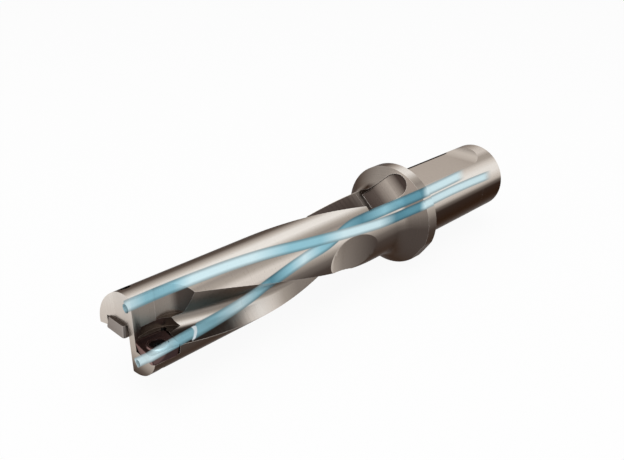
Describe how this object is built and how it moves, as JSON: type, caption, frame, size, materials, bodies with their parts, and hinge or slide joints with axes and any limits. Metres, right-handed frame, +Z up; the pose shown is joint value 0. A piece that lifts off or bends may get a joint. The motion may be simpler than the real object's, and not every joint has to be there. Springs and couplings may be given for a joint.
{
  "type": "indexable drill",
  "caption": "Indexable insert drill: fluted steel body with internal coolant channels, square carbide inserts held by countersunk screws, a flange and a parallel shank with a clamping flat.",
  "frame": {"origin": "centre of the flange's rear contact face, where the tool holder's face stops the drill", "axes": "+X along the drill's axis from the cutting end to the shank's end, +Z up through the clamping flat on the shank, the outer insert's top face looking up"},
  "size_m": [0.161, 0.035, 0.035],
  "materials": {
    "body_steel": "satin nickel-plated steel",
    "outer_carbide": "dark coated carbide",
    "inner_carbide": "grey coated carbide",
    "screw_steel": "black oxide steel"
  },
  "bodies": {
    "root": {"drill_body": "body_steel", "outer_insert": "outer_carbide", "inner_insert": "inner_carbide", "outer_insert_screw": "screw_steel", "inner_insert_screw": "screw_steel"}
  },
  "joints": []
}
